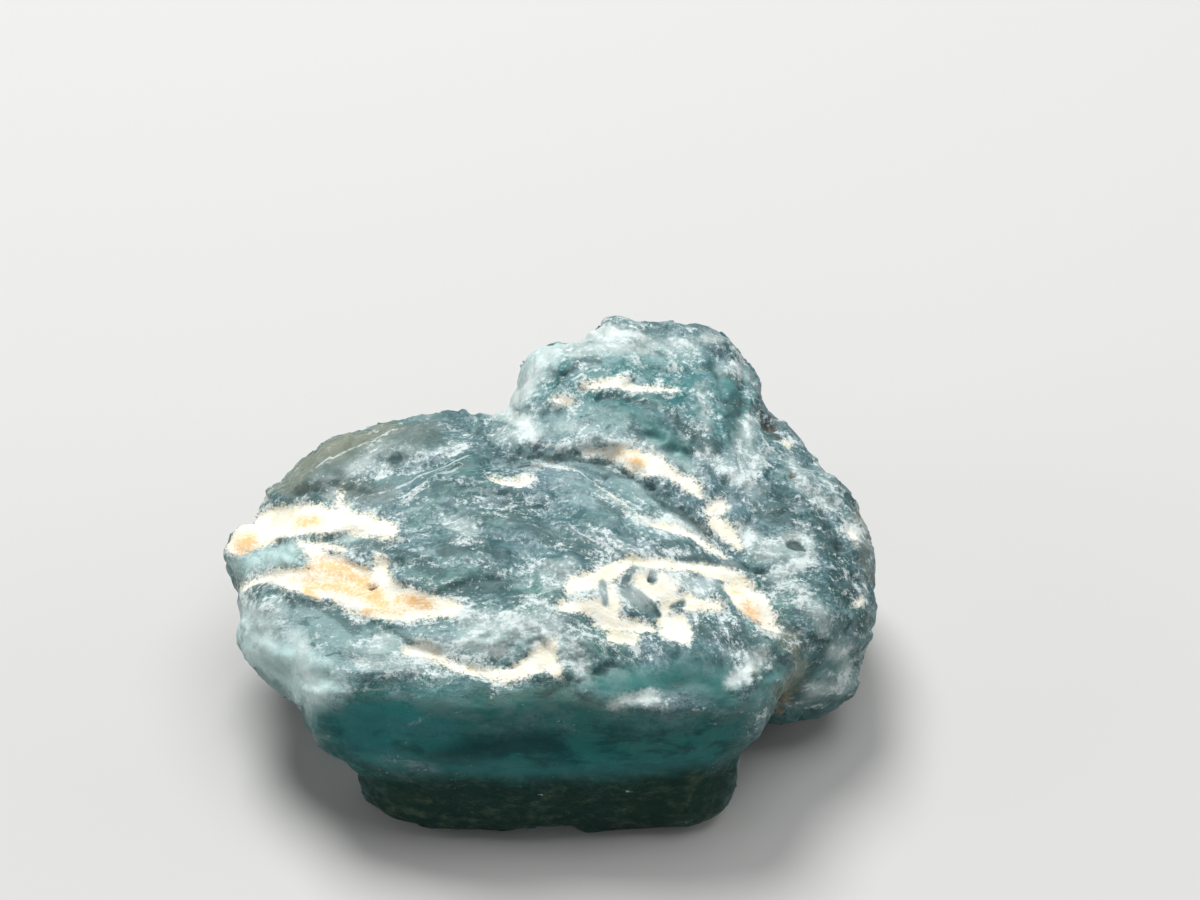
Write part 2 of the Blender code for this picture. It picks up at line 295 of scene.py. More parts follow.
# Clean gaps between the crusts of the net
GAPS = {
    "net wedge": ((620, 589, 4), (632, 593, 7), (646, 604, 7), (658, 615, 4)),
    "net slit": ((632, 572, 3), (625, 582, 4)),
    "net left": ((602, 584, 4), (604, 595, 4), (606, 603, 3)),
    "net notch": ((672, 607, 3), (682, 604, 4)),
    "net hole": ((653, 575, 5), (653, 580, 5)),
    "band line": ((674, 560, 2), (706, 562, 3), (740, 566, 3), (762, 571, 3)),
}

# Smooth pale teal, where the stone is thin: a painted glow of light shining through the thin stone, made lighter on
# the down-facing left slope as painted light
PALE_GLOWS = {
    "left slope": ((244, 620, 10), (258, 644, 18), (284, 664, 26), (314, 680, 20), (338, 690, 8)),
    "left tip": ((236, 566, 8), (262, 560, 10), (290, 554, 8)),
    "lobe edge": ((520, 400, 8), (530, 375, 9), (548, 350, 9), (566, 338, 7)),
    "tongue": ((350, 536, 6), (370, 534, 5)),
    "left bank": ((262, 640, 14), (284, 672, 20), (312, 702, 14)),
}

# Smooth white, half clear stone without grains
MILKS = {
    "crown": ((562, 347, 4), (580, 340, 7), (606, 336, 8), (632, 337, 6), (652, 342, 4)),
    "crown streak": ((570, 356, 3), (596, 348, 4), (622, 346, 4), (646, 350, 3)),
    "saddle": ((494, 412, 6), (512, 414, 9), (526, 424, 8), (536, 434, 5)),
    "flank": ((518, 404, 6), (528, 388, 7), (536, 368, 6), (552, 350, 5)),
    "square": ((705, 339, 5), (719, 340, 4)),
    "front blur": ((612, 706, 2), (628, 700, 6), (648, 698, 8), (662, 704, 4)),
    "right milk": ((732, 682, 6), (744, 674, 9), (756, 664, 7), (762, 654, 5)),
    "front streak": ((404, 728, -5), (416, 722, -1), (426, 716, -1), (434, 710, -5)),
    "front curl": ((392, 706, -6), (404, 702, -2), (416, 697, -2), (430, 692, -6)),
    "slope streak": ((303, 640, 1), (300, 652, 2)),
    "front curl two": ((446, 716, -6), (462, 704, -3), (470, 694, -6)),
    "pit ring": ((784, 541, 2), (790, 535, 2), (800, 535, 2), (809, 543, 2), (812, 553, 2), (806, 558, 2)),
}

# Smooth saturated teal between the strands of the lobe
TEALS = {
    "lobe face": ((630, 412, 3), (646, 424, 7), (660, 436, 12), (674, 450, 12), (684, 466, 8), (692, 480, 4)),
    "lobe back": ((604, 404, 3), (624, 410, 4)),
    "lobe fold": ((716, 370, 4), (726, 386, 6), (734, 406, 8), (736, 430, 7), (730, 444, 5)),
    "right corner": ((750, 706, 8), (766, 692, 11), (780, 670, 7)),
}

# Lighter, greyer stone over a wide area
WASHES = {
    "lobe": ((600, 352, 12), (640, 350, 14), (690, 352, 12)),
    "lobe foot": ((530, 430, 12), (580, 420, 14), (620, 426, 12)),
    "plateau lens": ((578, 498, 8), (596, 500, 10), (612, 508, 8)),
    "plateau strand": ((560, 480, 5), (600, 496, 5), (640, 524, 6), (680, 546, 6)),
    "brow": ((380, 650, 14), (440, 636, 12), (500, 640, 14), (556, 648, 14), (580, 664, 8)),
    "knob": ((796, 694, 10), (818, 688, 14), (842, 668, 14), (838, 648, 10)),
    # Painted light: the hollow under the ledge is painted lighter so that it doesn't read as a dark band of shade
    "painted light in ledge hollow": ((530, 456, 7), (570, 462, 9), (604, 468, 9), (630, 484, 9), (660, 505, 9), (694, 532, 8)),
    "left bank low": ((286, 604, 12), (324, 626, 18), (364, 648, 16), (340, 668, 18), (300, 650, 20)),
}

# Brown-black grains in the crack at the top of the right shoulder
BROWNS = {
    "corner": ((757, 414, 5), (768, 424, 9), (778, 436, 6)),
    "corner tail": ((778, 436, 3), (790, 444, 2)),
    "left knot": ((370, 587, 3), (375, 587, 3)),
    "left rim dot": ((296, 507, 3), (300, 508, 3)),
}

# Smooth front wall and, darker still, the foot under it: painted shade over the stone's own deep teal and the
# foot's green-grey, where they turn down and away from the lights and the foot sits in the shadow of the overhang
SHADED_FRONT_MARKS = {
    "wall": ((322, 716, 6), (345, 724, 16), (370, 726, 24), (400, 728, 34), (460, 735, 44), (520, 740, 46),
             (590, 742, 42), (650, 748, 36), (712, 742, 26), (742, 722, 12)),
    "facet": ((705, 766, 10), (738, 748, 5)),
    "seam": ((352, 765, 12), (420, 778, 12), (520, 782, 12), (620, 780, 12), (700, 772, 12), (738, 756, 8)),
    "upper right": ((604, 688, 8), (640, 682, 12), (680, 676, 14), (712, 682, 14), (722, 696, 12)),
    "left low": ((340, 742, 10), (368, 756, 18), (400, 770, 16)),
}
# Navy patches in the front wall: the stone's own navy tone, darkened further as painted shade
NAVIES = {
    "left": ((436, 756, 8), (476, 750, 14), (500, 742, 12)),
    "middle": ((506, 728, 10), (530, 734, 14), (556, 746, 8)),
}

# Bright sea-green stone at the left end of the front wall
SEAS = {
    "left": ((326, 712, 6), (346, 714, 12), (376, 718, 15), (410, 722, 14), (444, 728, 10)),
    "left low": ((352, 738, 8), (380, 748, 10), (410, 764, 5)),
    "hem": ((420, 768, 4), (480, 770, 4), (560, 772, 4), (650, 768, 4), (710, 760, 3)),
}

# Dull grey-green stone at the left back
MOSSES = {
    "left bank": ((300, 492, 8), (318, 470, 16), (350, 452, 18), (392, 440, 16), (430, 434, 10)),
    "left dark": ((322, 484, 10), (350, 492, 12), (384, 496, 8)),
}

# Stone whose dark tones are a purer teal, and stone whose dark tones are deeper still
RICHES = {
    "lobe": ((560, 384, 24), (620, 380, 34), (680, 384, 34), (722, 400, 26), (736, 440, 16)),
    "right low": ((842, 606, 12), (848, 636, 14), (822, 664, 16), (836, 690, 12)),
}
GLOOMS = {
    "shoulder": ((762, 470, 12), (790, 494, 24), (822, 530, 28), (842, 580, 24), (852, 628, 18), (850, 650, 10)),
    "right shoulder": ((786, 486, 14), (818, 516, 22), (838, 548, 16)),
}
# The foot under the wall, painted darker: painted shadow of the overhang over its own green-grey
SHADED_FOOT_MARKS = {
    "seam": ((360, 782, 8), (420, 788, 8), (520, 790, 8), (620, 789, 8), (700, 784, 8), (732, 772, 6)),
    "foot": ((378, 800, 14), (402, 802, 22), (470, 808, 26), (540, 808, 24), (620, 808, 26), (700, 796, 26),
             (726, 780, 10)),
}

# Pits and hollows that also sink into the surface
PITS = {
    "oval pit": ((790, 543, 4), (797, 545, 5), (805, 551, 2)),
    "ring hole": ((650, 578, 3), (654, 578, 3)),
    "corner pit": ((766, 425, 2), (770, 430, 2)),
    "brown dot": ((370, 587, 2), (374, 587, 2)),
    "shoulder pit": ((792, 474, 3), (795, 474, 2)),
    "black dot": ((811, 497, 1), (812, 497, 1)),
    "band slot": ((756, 571, 2), (768, 571, 2)),
}
BROWN_PITS = ("corner pit", "brown dot", "shoulder pit")

# Marks on the sides that the photograph doesn't show, as kind, size, seed and level of slow noise
HIDDEN_MARKS = (
    ("crust", (5.6, 2.4, 1.9), 41, 0.40),
    ("veil", (6.0, 3.4, 3.0), 57, 0.16),
    ("deep", (6.0, 4.0, 3.4), 71, 0.14),
)
HIDDEN_SLOPE = 34.0

# Fine lines: straight scratches and white veins, as points with no radius
SCRATCHES = (
    ((579, 534), (598, 545), (610, 554), (611, 563)),
    ((317, 471), (335, 459), (360, 446), (391, 430)),
    ((373, 497), (411, 483), (443, 469), (468, 458)),
    ((439, 478), (461, 468)),
    ((533, 463), (560, 468), (580, 474), (604, 493), (625, 506), (643, 519), (657, 528)),
    ((590, 541), (604, 545), (614, 552)),
    ((520, 470), (540, 466), (556, 469)),
)
SCRATCH_HALF_WIDTH = 1.1
SCRATCH_SHARE = 0.60
LINE_FADE = (2.0, 4.5)

# Colours, linear
DEEP_TEAL = (0.032, 0.102, 0.112)
DARK_TEAL = (0.020, 0.074, 0.076)
RICH_MID = (0.090, 0.215, 0.218)
RICH_DEEP = (0.012, 0.140, 0.146)
GLOOM_DEEP = (0.004, 0.070, 0.074)
BLUE_TEAL = (0.088, 0.180, 0.206)
SMOOTH_TEAL = (0.066, 0.198, 0.194)
GREEN_TEAL = (0.085, 0.200, 0.180)
LIGHT_TEAL = (0.255, 0.342, 0.368)
# Painted glow of light through thin stone, and painted light on the left slope
PALE_GLOW_TEAL = (0.520, 0.715, 0.695)
LIP_TEAL = (0.080, 0.190, 0.182)
# Front wall colours: the stone's own deep teal and navy, darkened as painted shade
FRONT_SHADE_TEAL = (0.014, 0.135, 0.124)
FRONT_SHADE_NAVY = (0.002, 0.064, 0.066)
SEA_TEAL = (0.020, 0.160, 0.165)
FRONT_SHADE_DEEP = (0.001, 0.040, 0.046)
# Painted shade on downward-facing surfaces
UNDERSIDE_SHADE_TEAL = (0.010, 0.085, 0.080)
# Foot colours: its own green-grey, darkened as painted shadow under the overhang
FOOT_SHADE_GREEN = (0.001, 0.024, 0.016)
FOOT_SHADE_GREY = (0.055, 0.088, 0.058)
MILKY = (0.550, 0.640, 0.625)
MILK_WHITE = (0.490, 0.565, 0.545)
WASHED = (0.250, 0.385, 0.385)
SCUFF = (0.420, 0.560, 0.560)
# White of crumbs and scratches, and of the painted glints
FLECK_AND_GLINT = (0.640, 0.720, 0.710)
MOSS = (0.105, 0.145, 0.125)
OLIVE = (0.215, 0.220, 0.150)
CRUST_WHITE = (0.845, 0.850, 0.780)
CRUST_CREAM = (0.830, 0.790, 0.630)
CRUST_PEACH = (0.840, 0.725, 0.530)
CRUST_DUST = (0.640, 0.600, 0.460)
RUST = (0.780, 0.455, 0.175)
DARK_RUST = (0.480, 0.240, 0.070)
PIT_BROWN = (0.080, 0.060, 0.038)
GRAIN_BROWN = (0.055, 0.050, 0.036)
PIT_DARK = (0.020, 0.055, 0.058)
FLOOR_COLOUR = (0.52, 0.52, 0.51)

# Finish
STONE_ROUGHNESS = (0.30, 0.55)
CRUST_ROUGHNESS = 0.88
STONE_IOR = 1.5
STONE_SPECULAR = 0.5
FOOT_SPECULAR = 0.1
FRONT_SPECULAR = 0.15
BUMP_STRENGTH = 0.7
BUMP_DEPTH = 0.10
FLOOR_ROUGHNESS = 0.9

# Lights: place, size across, power in watts
LIGHTS = {
    "key": ((-70.0, 170.0, 320.0), 180.0, 1.45),
    "top": ((100.0, 20.0, 340.0), 260.0, 0.55),
    "fill": ((-60.0, -330.0, 150.0), 260.0, 0.08),
    "left": ((-330.0, -40.0, 110.0), 200.0, 0.22),
    "right": ((330.0, 20.0, 120.0), 200.0, 0.16),
}
WORLD_COLOUR = (0.80, 0.82, 0.84)
WORLD_STRENGTH = 0.18
FLOOR_HALF = 600.0


def smooth_step(value, low, high):
    """0 below low, 1 above high, with a smooth rise between."""
    share = np.clip((value - low) / (high - low), 0.0, 1.0)
    return share * share * (3.0 - 2.0 * share)


def noise_at(points, size, seed):
    """Perlin noise from -1 to 1 at each point, with features of the given size."""
    scaled = points / np.asarray(size) + seed
    return np.array([noise.noise(Vector(p)) for p in scaled])


def turned(points, angle_deg):
    """Points turned about +Z, so that the flow direction becomes +X."""
    angle = math.radians(-angle_deg)
    cos, sin = math.cos(angle), math.sin(angle)
    x = points[:, 0] * cos - points[:, 1] * sin
    y = points[:, 0] * sin + points[:, 1] * cos
    return np.stack([x, y, points[:, 2]], axis=1)


def camera_axes():
    """Unit vectors to the right of the image, up the image and into it."""
    tilt = math.radians(CAMERA_TILT_DEG)
    right = np.array((1.0, 0.0, 0.0))
    up = np.array((0.0, math.cos(tilt), math.sin(tilt)))
    into = np.array((0.0, math.sin(tilt), -math.cos(tilt)))
    return right, up, into


def pixels_of(points):
    """Where each point falls in the photograph."""
    right, up, into = camera_axes()
    focal = LENS_MM / SENSOR_MM * IMAGE_WIDTH
    offset = points - np.array(CAMERA_PLACE)
    depth = offset @ into
    x = IMAGE_WIDTH / 2 + focal * (offset @ right) / depth
    y = IMAGE_HEIGHT / 2 - focal * (offset @ up) / depth
    return np.stack([x, y], axis=1)


def seen_share(mesh, points, normals):
    """1 where the camera sees the surface well, 0 where it is turned away or hidden."""
    eye = np.array(CAMERA_PLACE)
    view = eye - points
    distance = np.linalg.norm(view, axis=1)
    view /= distance[:, None]
    share = smooth_step((normals * view).sum(axis=1), SEEN_FROM, SEEN_FULLY)
    tree = BVHTree.FromPolygons([Vector(p) for p in points], [tuple(f.vertices) for f in mesh.polygons])
    start = Vector(CAMERA_PLACE)
    for index in np.nonzero(share > 0.0)[0]:
        hit = tree.ray_cast(start, Vector(-view[index]))
        if hit[0] is not None and hit[3] < distance[index] - HIDDEN_BY:
            share[index] = 0.0
    return share


def nearest_on(pixels, start, end):
    """Share along a segment, and the offset from it, for each pixel."""
    a = np.array(start[:2], float)
    step = np.array(end[:2], float) - a
    share = np.clip((pixels - a) @ step / (step @ step), 0.0, 1.0)
    return share, pixels - a - share[:, None] * step, step


def stroke_field(pixels, stroke):
    """How far inside a stroke of growing and shrinking width each pixel lies, in pixels."""
    field = np.full(len(pixels), -FIELD_REACH)
    for start, end in zip(stroke[:-1], stroke[1:]):
        share, gap, _ = nearest_on(pixels, start, end)
        radius = start[2] + share * (end[2] - start[2])
        field = np.maximum(field, radius - np.linalg.norm(gap, axis=1))
    return field


def union_field(pixels, strokes, seen):
    """The widest cover of several strokes, pushed below zero where the camera doesn't see."""
    field = np.full(len(pixels), -FIELD_REACH)
    for stroke in strokes:
        field = np.maximum(field, stroke_field(pixels, stroke))
    return np.maximum(field - UNSEEN_PENALTY * (1.0 - seen), -FIELD_REACH)


def side_of(pixels, line):
    """Signed distance to a line walked from left to right, above zero on its far side."""
    best = np.full(len(pixels), np.inf)
    signed = np.full(len(pixels), np.inf)
    for start, end in zip(line[:-1], line[1:]):
        _, gap, step = nearest_on(pixels, start, end)
        distance = np.linalg.norm(gap, axis=1)
        far = np.where(step[1] * gap[:, 0] - step[0] * gap[:, 1] >= 0.0, 1.0, -1.0)
        nearer = distance < best
        best = np.where(nearer, distance, best)
        signed = np.where(nearer, distance * far, signed)
    return signed


def line_fields(pixels, lines, seen):
    """Signed distance to the nearest of several lines, and how near it is, so that they can be drawn finely."""
    nearest = np.full(len(pixels), FIELD_REACH)
    for line in lines:
        signed = side_of(pixels, line)
        nearest = np.where(np.abs(signed) < np.abs(nearest), signed, nearest)
    return nearest, (1.0 - smooth_step(np.abs(nearest), *LINE_FADE)) * seen


def step_relief(pixels, seen):
    """Height of the steps: up on the far side, down on the near side, and level again further off."""
    height = np.zeros(len(pixels))
    for step in STEPS:
        signed = side_of(pixels, step.line)
        rise = smooth_step(signed, -STEP_WIDTH, STEP_WIDTH) - 0.5
        height += step.height * rise * np.exp(-((signed / step.reach) ** 2))
    return height * seen


def swirl_of(pixels, seen):
    """Place along and across the grain, in millimetres, and how far the grain follows it."""
    on_lobe = side_of(pixels, LOBE_EDGE) > 0.0
    centre = np.where(on_lobe[:, None], LOBE_CENTRE, SWIRL_CENTRE)
    arm = pixels - centre
    across = np.linalg.norm(arm, axis=1)
    along = np.arctan2(arm[:, 0], -arm[:, 1]) * across.mean()
    x, y = pixels[:, 0], pixels[:, 1]
    left_front = smooth_step(y, *LEFT_FRONT_Y) * (1.0 - smooth_step(x, *LEFT_FRONT_X))
    front = smooth_step(y, *FRONT_Y)
    shoulder = smooth_step(x, *SHOULDER_X)
    weight = seen * (1.0 - np.maximum(left_front, np.maximum(front, shoulder)))
    return along / PIXELS_PER_MM, across / PIXELS_PER_MM, weight


def normals_of(mesh):
    """Vertex normals as an array."""
    flat = np.empty(len(mesh.vertices) * 3)
    mesh.vertex_normals.foreach_get("vector", flat)
    return flat.reshape(-1, 3)


def points_of(mesh):
    """Vertex places as an array."""
    flat = np.empty(len(mesh.vertices) * 3)
    mesh.vertices.foreach_get("co", flat)
    return flat.reshape(-1, 3)


def place_points(mesh, points):
    """Moves a mesh's vertices."""
    mesh.vertices.foreach_set("co", points.astype(np.float32).ravel())
    mesh.update()


def fine_mesh(node):
    """The solid of the node as an even, smooth mesh in millimetres."""
    coarse = node.data.copy()
    place_points(coarse, points_of(coarse) / MM)
    worker = bpy.data.objects.new("worker", coarse)
    bpy.context.scene.collection.objects.link(worker)
    remesh = worker.modifiers.new("even", "REMESH")
    remesh.mode = "VOXEL"
    remesh.voxel_size = VOXEL
    smooth = worker.modifiers.new("smooth", "SMOOTH")
    smooth.factor = SMOOTH_FACTOR
    smooth.iterations = SMOOTH_PASSES
    graph = bpy.context.evaluated_depsgraph_get()
    fine = bpy.data.meshes.new_from_object(worker.evaluated_get(graph))
    bpy.data.objects.remove(worker)
    return fine


def ridged(values):
    """Noise folded into sharp crests."""
    return 1.0 - 2.0 * np.abs(values)


def flow_relief(points):
    """Long low ridges that run along the stone."""
    return FLOW_HEIGHT * ridged(noise_at(turned(points, FLOW_TURN_DEG), FLOW_SIZE, 3.0))


def swirl_relief(along, across):
    """Ridges that follow the arcs of the grain."""
    height = np.zeros(len(along))
    places = np.stack([along, across, np.zeros(len(along))], axis=1)
    for amplitude, size, seed in SWIRL_RELIEF:
        height += amplitude * ridged(noise_at(places, (*size, 1.0), seed + 0.5))
    return height


def chips(places, size):
    """Flat chips tilted this way and that, with steps where they meet, and a tone for each chip."""
    heights = np.empty(len(places))
    tones = np.empty(len(places))
    for index, place in enumerate(places / np.array(size)):
        spot = Vector(place)
        middle = noise.voronoi(spot)[1][0]
        heights[index] = noise.noise_vector(middle * CHIP_TILT_SEED).dot(spot - middle)
        tones[index] = 0.5 + 0.5 * noise.cell(middle * CHIP_TONE_SEED)
    return heights, tones


def grain_places(points, fields):
    """Places in which the grain runs along X: arcs where the swirl shows, and straight elsewhere."""
    straight = turned(points, FLOW_TURN_DEG)
    curved = np.stack([fields["along"], fields["across"], points[:, 2]], axis=1)
    places = np.where(fields["swirl"][:, None] > 0.5, curved, straight)
    bend = np.array([noise.noise_vector(Vector(p)) for p in points / BEND_SIZE])
    return places + BEND_REACH * bend


def relief(points, normals, pixels, fields, seen):
    """Height of the fine surface over the solid."""
    along, across, weight = fields["along"], fields["across"], fields["swirl"]
    top = smooth_step(normals[:, 2], -0.3, 0.4)
    smooth = 1.0 - 0.75 * smooth_step(np.maximum(fields["front"], fields["foot"]), -8.0, 8.0)
    height = flow_relief(points) * (0.5 + 0.5 * top) * (1.0 - weight)
    height += swirl_relief(along, across) * weight
    places = grain_places(points, fields)
    chip_height, fields["chip"] = chips(places, CHIP_SIZE)
    small_height, fields["small_chip"] = chips(places, SMALL_CHIP_SIZE)
    height += CHIP_HEIGHT * chip_height + SMALL_CHIP_HEIGHT * small_height
    for amplitude, size, seed in LUMP_RELIEF:
        height += amplitude * noise_at(points, size, seed)
    height *= smooth * (1.0 - CRUST_CALM * smooth_step(fields["crust"], -3.0, 4.0))
    height += step_relief(pixels, seen)
    height -= CRUST_SINK * smooth_step(fields["crust"], -2.0, 3.0)
    height -= PIT_SINK * smooth_step(fields["pit"], -2.0, 2.0)
    return height * smooth_step(points[:, 2], 0.0, FOOT_CALM_HEIGHT)


def mark_fields(pixels, seen):
    """Every painted mark as one field over the surface."""
    kinds = {
        "crust": CRUSTS.values(),
        "rust": RUSTS.values(),
        "olive": OLIVES.values(),
        "veil": VEILS.values(),
        "pale": PALE_GLOWS.values(),
        "deep": DEEPS.values(),
        "gap": GAPS.values(),
        "navy": NAVIES.values(),
        "sea": SEAS.values(),
        "rich": RICHES.values(),
        "moss": MOSSES.values(),
        "gloom": GLOOMS.values(),
        "front": SHADED_FRONT_MARKS.values(),
        "foot": SHADED_FOOT_MARKS.values(),
        "milk": MILKS.values(),
        "teal": TEALS.values(),
        "wash": WASHES.values(),
        "grains": BROWNS.values(),
        "pit": PITS.values(),
        "brown": [PITS[name] for name in BROWN_PITS],
    }
    fields = {name: union_field(pixels, strokes, seen) for name, strokes in kinds.items()}
    fields["line"], fields["near_line"] = line_fields(pixels, SCRATCHES, seen)
    fields["along"], fields["across"], fields["swirl"] = swirl_of(pixels, seen)
    return fields


def unseen_marks(fields, points, seen):
    """Crusts and veils on the sides that the photograph doesn't show, from slow noise."""
    for name, size, seed, level in HIDDEN_MARKS:
        field = (noise_at(turned(points, FLOW_TURN_DEG), size, seed) - level) * HIDDEN_SLOPE
        fields[name] = np.maximum(fields[name], field - UNSEEN_PENALTY * seen)


def write_field(mesh, name, values):
    """Stores one number for each vertex, for the shader."""
    attribute = mesh.attributes.new(name, "FLOAT", "POINT")
    attribute.data.foreach_set("value", values.astype(np.float32))


def stone():
    """The piece that stands for the crystal."""
    mesh = fine_mesh(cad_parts[NODE])
    points = points_of(mesh)
    normals = normals_of(mesh)
    seen = seen_share(mesh, points, normals)
    pixels = pixels_of(points)
    fields = mark_fields(pixels, seen)
    unseen_marks(fields, points, seen)
    moved = points + normals * relief(points, normals, pixels, fields, seen)[:, None]
    low = np.array(cad_box[0]) / MM
    high = np.array(cad_box[1]) / MM
    place_points(mesh, np.clip(moved, low, high) * MM)
    for name, values in fields.items():
        write_field(mesh, name, values)
    # Downward-facing surfaces: painted shade on the undersides, which are also kept clear of crumbs
    write_field(mesh, "under", smooth_step(-normals[:, 2], -0.25, 0.35))
    mesh.shade_smooth()
    mesh.materials.clear()
    mesh.materials.append(stone_material())
    piece = bpy.data.objects.new(PIECE, mesh)
    bpy.context.scene.collection.objects.link(piece)
    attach(piece, "root")
    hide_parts(NODE)
    return piece


class Graph:
    """Short ways to add shader nodes to one material."""

    def __init__(self, name):
        self.material = bpy.data.materials.new(name)
        self.material.use_nodes = True
        self.tree = self.material.node_tree
        self.shader = self.tree.nodes["Principled BSDF"]

    def add(self, kind, inputs, **settings):
        node = self.tree.nodes.new(kind)
        for key, value in settings.items():
            setattr(node, key, value)
        for key, value in inputs.items():
            self.put(node.inputs[key], value)
        return node

    def put(self, socket, value):
        if isinstance(value, bpy.types.NodeSocket):
            self.tree.links.new(value, socket)
        elif isinstance(value, tuple) and socket.type == "RGBA":
            socket.default_value = (*value, 1.0)
        else:
            socket.default_value = value

    def math(self, operation, a, b=0.0, c=0.0):
        return self.add("ShaderNodeMath", {0: a, 1: b, 2: c}, operation=operation).outputs[0]

    def blend(self, share, a, b):
        return self.add("ShaderNodeMix", {0: share, 2: a, 3: b}, data_type="FLOAT").outputs[0]

    def step(self, value, low, high, to_low=0.0, to_high=1.0):
        inputs = {"Value": value, "From Min": low, "From Max": high, "To Min": to_low, "To Max": to_high}
        return self.add("ShaderNodeMapRange", inputs, interpolation_type="SMOOTHSTEP").outputs["Result"]

    def mix(self, share, a, b, blend="MIX"):
        return self.add("ShaderNodeMix", {0: share, 6: a, 7: b}, data_type="RGBA", blend_type=blend).outputs[2]

    def field(self, name):
        return self.add("ShaderNodeAttribute", {}, attribute_name=name).outputs["Fac"]

    def noise(self, place, scale, detail=4.0, roughness=0.55):
        inputs = {"Vector": place, "Scale": scale, "Detail": detail, "Roughness": roughness}
        return self.add("ShaderNodeTexNoise", inputs).outputs["Fac"]

    def scaled(self, vector, factor):
        return self.add("ShaderNodeVectorMath", {0: vector, "Scale": factor}, operation="SCALE").outputs[0]

    def plus(self, first, second):
        return self.add("ShaderNodeVectorMath", {0: first, 1: second}, operation="ADD").outputs[0]

    def stretched(self, place, scale, turn_deg=0.0):
        inputs = {"Vector": place, "Rotation": (0.0, 0.0, math.radians(-turn_deg)), "Scale": scale}
        return self.add("ShaderNodeMapping", inputs).outputs[0]


Layer = namedtuple("Layer", "scale detail roughness low high share")
Mark = namedtuple("Mark", "ragged low high share")
BODY_SLOW = Layer(0.20, 3.0, 0.55, 0.40, 0.60, 1.0)
BODY_DARK = Layer((0.45, 1.15, 1.15), 9.0, 0.74, 0.44, 0.54, 1.0)
BODY_LIGHT = Layer((0.50, 1.5, 1.5), 9.0, 0.76, 0.51, 0.60, 0.60)
WEATHER = Layer(0.55, 5.0, 0.65, 0.36, 0.64, 1.0)
CRUMBS = Layer((0.8, 2.2, 2.2), 7.0, 0.78, 0.548, 0.712, 0.90)
BODY_GRIT = 0.50
GRANULES = Layer(5.0, 4.0, 0.80, 0.0, 1.0, 0.62)
HAIRS = Layer((1.1, 8.0, 8.0), 5.0, 0.74, 0.56, 0.70, 0.16)
STRANDS = Layer((0.10, 1.3, 1.3), 1.0, 0.40, 0.004, 0.018, 0.25)
STRAND_PATCHES = Layer(0.75, 3.0, 0.60, 0.48, 0.60, 1.0)
# Painted glints: tiny white specks
GLINT_SPECKS = Layer(7.5, 2.0, 0.60, 0.66, 0.71, 0.90)
CRACKS = Layer((0.7, 3.2, 3.2), 6.0, 0.68, 0.36, 0.42, 0.80)
LIP_TONE = Layer((0.40, 1.1, 1.1), 5.0, 0.62, 0.40, 0.60, 1.0)
FRONT_TONE = Layer((0.50, 1.6, 1.6), 6.0, 0.66, 0.43, 0.57, 1.0)
FOOT_TONE = Layer((1.3, 2.0, 2.0), 8.0, 0.78, 0.46, 0.70, 1.0)
CRUST_TONE = Layer(1.3, 9.0, 0.80, 0.42, 0.60, 1.0)
CRUST_DIRT = Layer(3.6, 7.0, 0.80, 0.60, 0.70, 0.30)
CRUST_DOTS = Layer(5.0, 3.0, 0.60, 0.69, 0.74, 0.55)
GLOSS = Layer(2.4, 6.0, 0.70, 0.35, 0.65, 1.0)
CRUST_EDGE = Mark(10.0, -3.0, 2.6, 1.0)
CRUST_GRAINS = 18.0
PEACH_EDGE = Mark(24.0, 5.0, 18.0, 0.45)
RUST_EDGE = Mark(30.0, -6.0, 8.0, 0.85)
RUST_GRAINS = 26.0
MOSS_EDGE = Mark(30.0, -14.0, 10.0, 0.75)
OLIVE_EDGE = Mark(30.0, -8.0, 10.0, 0.60)
VEIL_EDGE = Mark(22.0, -7.0, 9.0, 1.0)
MILK_EDGE = Mark(16.0, -5.0, 7.0, 0.90)
WASH_EDGE = Mark(20.0, -10.0, 10.0, 0.65)
TEAL_EDGE = Mark(16.0, -3.5, 4.0, 0.90)
PALE_EDGE = Mark(34.0, -16.0, 12.0, 0.80)
GAP_EDGE = Mark(6.0, -2.0, 2.0, 1.0)
SEA_EDGE = Mark(24.0, -12.0, 10.0, 0.75)
NAVY_EDGE = Mark(26.0, -12.0, 12.0, 0.85)
TONE_EDGE = Mark(24.0, -14.0, 12.0, 1.0)
DEEP_EDGE = Mark(18.0, -2.5, 2.5, 0.75)
FRONT_EDGE = Mark(26.0, -18.0, 14.0, 0.95)
FOOT_EDGE = Mark(20.0, -14.0, 8.0, 0.95)
GRAINS_EDGE = Mark(30.0, -3.0, 4.0, 0.85)
FRONT_DRIFT = 50.0
# Heights in millimetres over which the painted shade of the front wall deepens from the lip colour to the wall
# colour
FRONT_SHADE_FROM = 7.1
FRONT_SHADE_TO = 5.5
FRONT_SHADE_RAGGED = 2.4
CHIP_DARK = (0.40, 0.50)
CHIP_LIGHT = (0.75, 0.35)
CHIP_CRUMBS = 0.100
WARP_SCALE = 0.30
WARP_REACH = 0.5
VEIL_TINT = 0.45
GAP_TINT = 0.90
VEIL_CRUMBS = 0.075
WEATHER_CRUMBS = 0.045
NEAR_CRUST_CRUMBS = 0.075
NEAR_CRUST = 14.0
COVERED_CRUMBS = -0.15


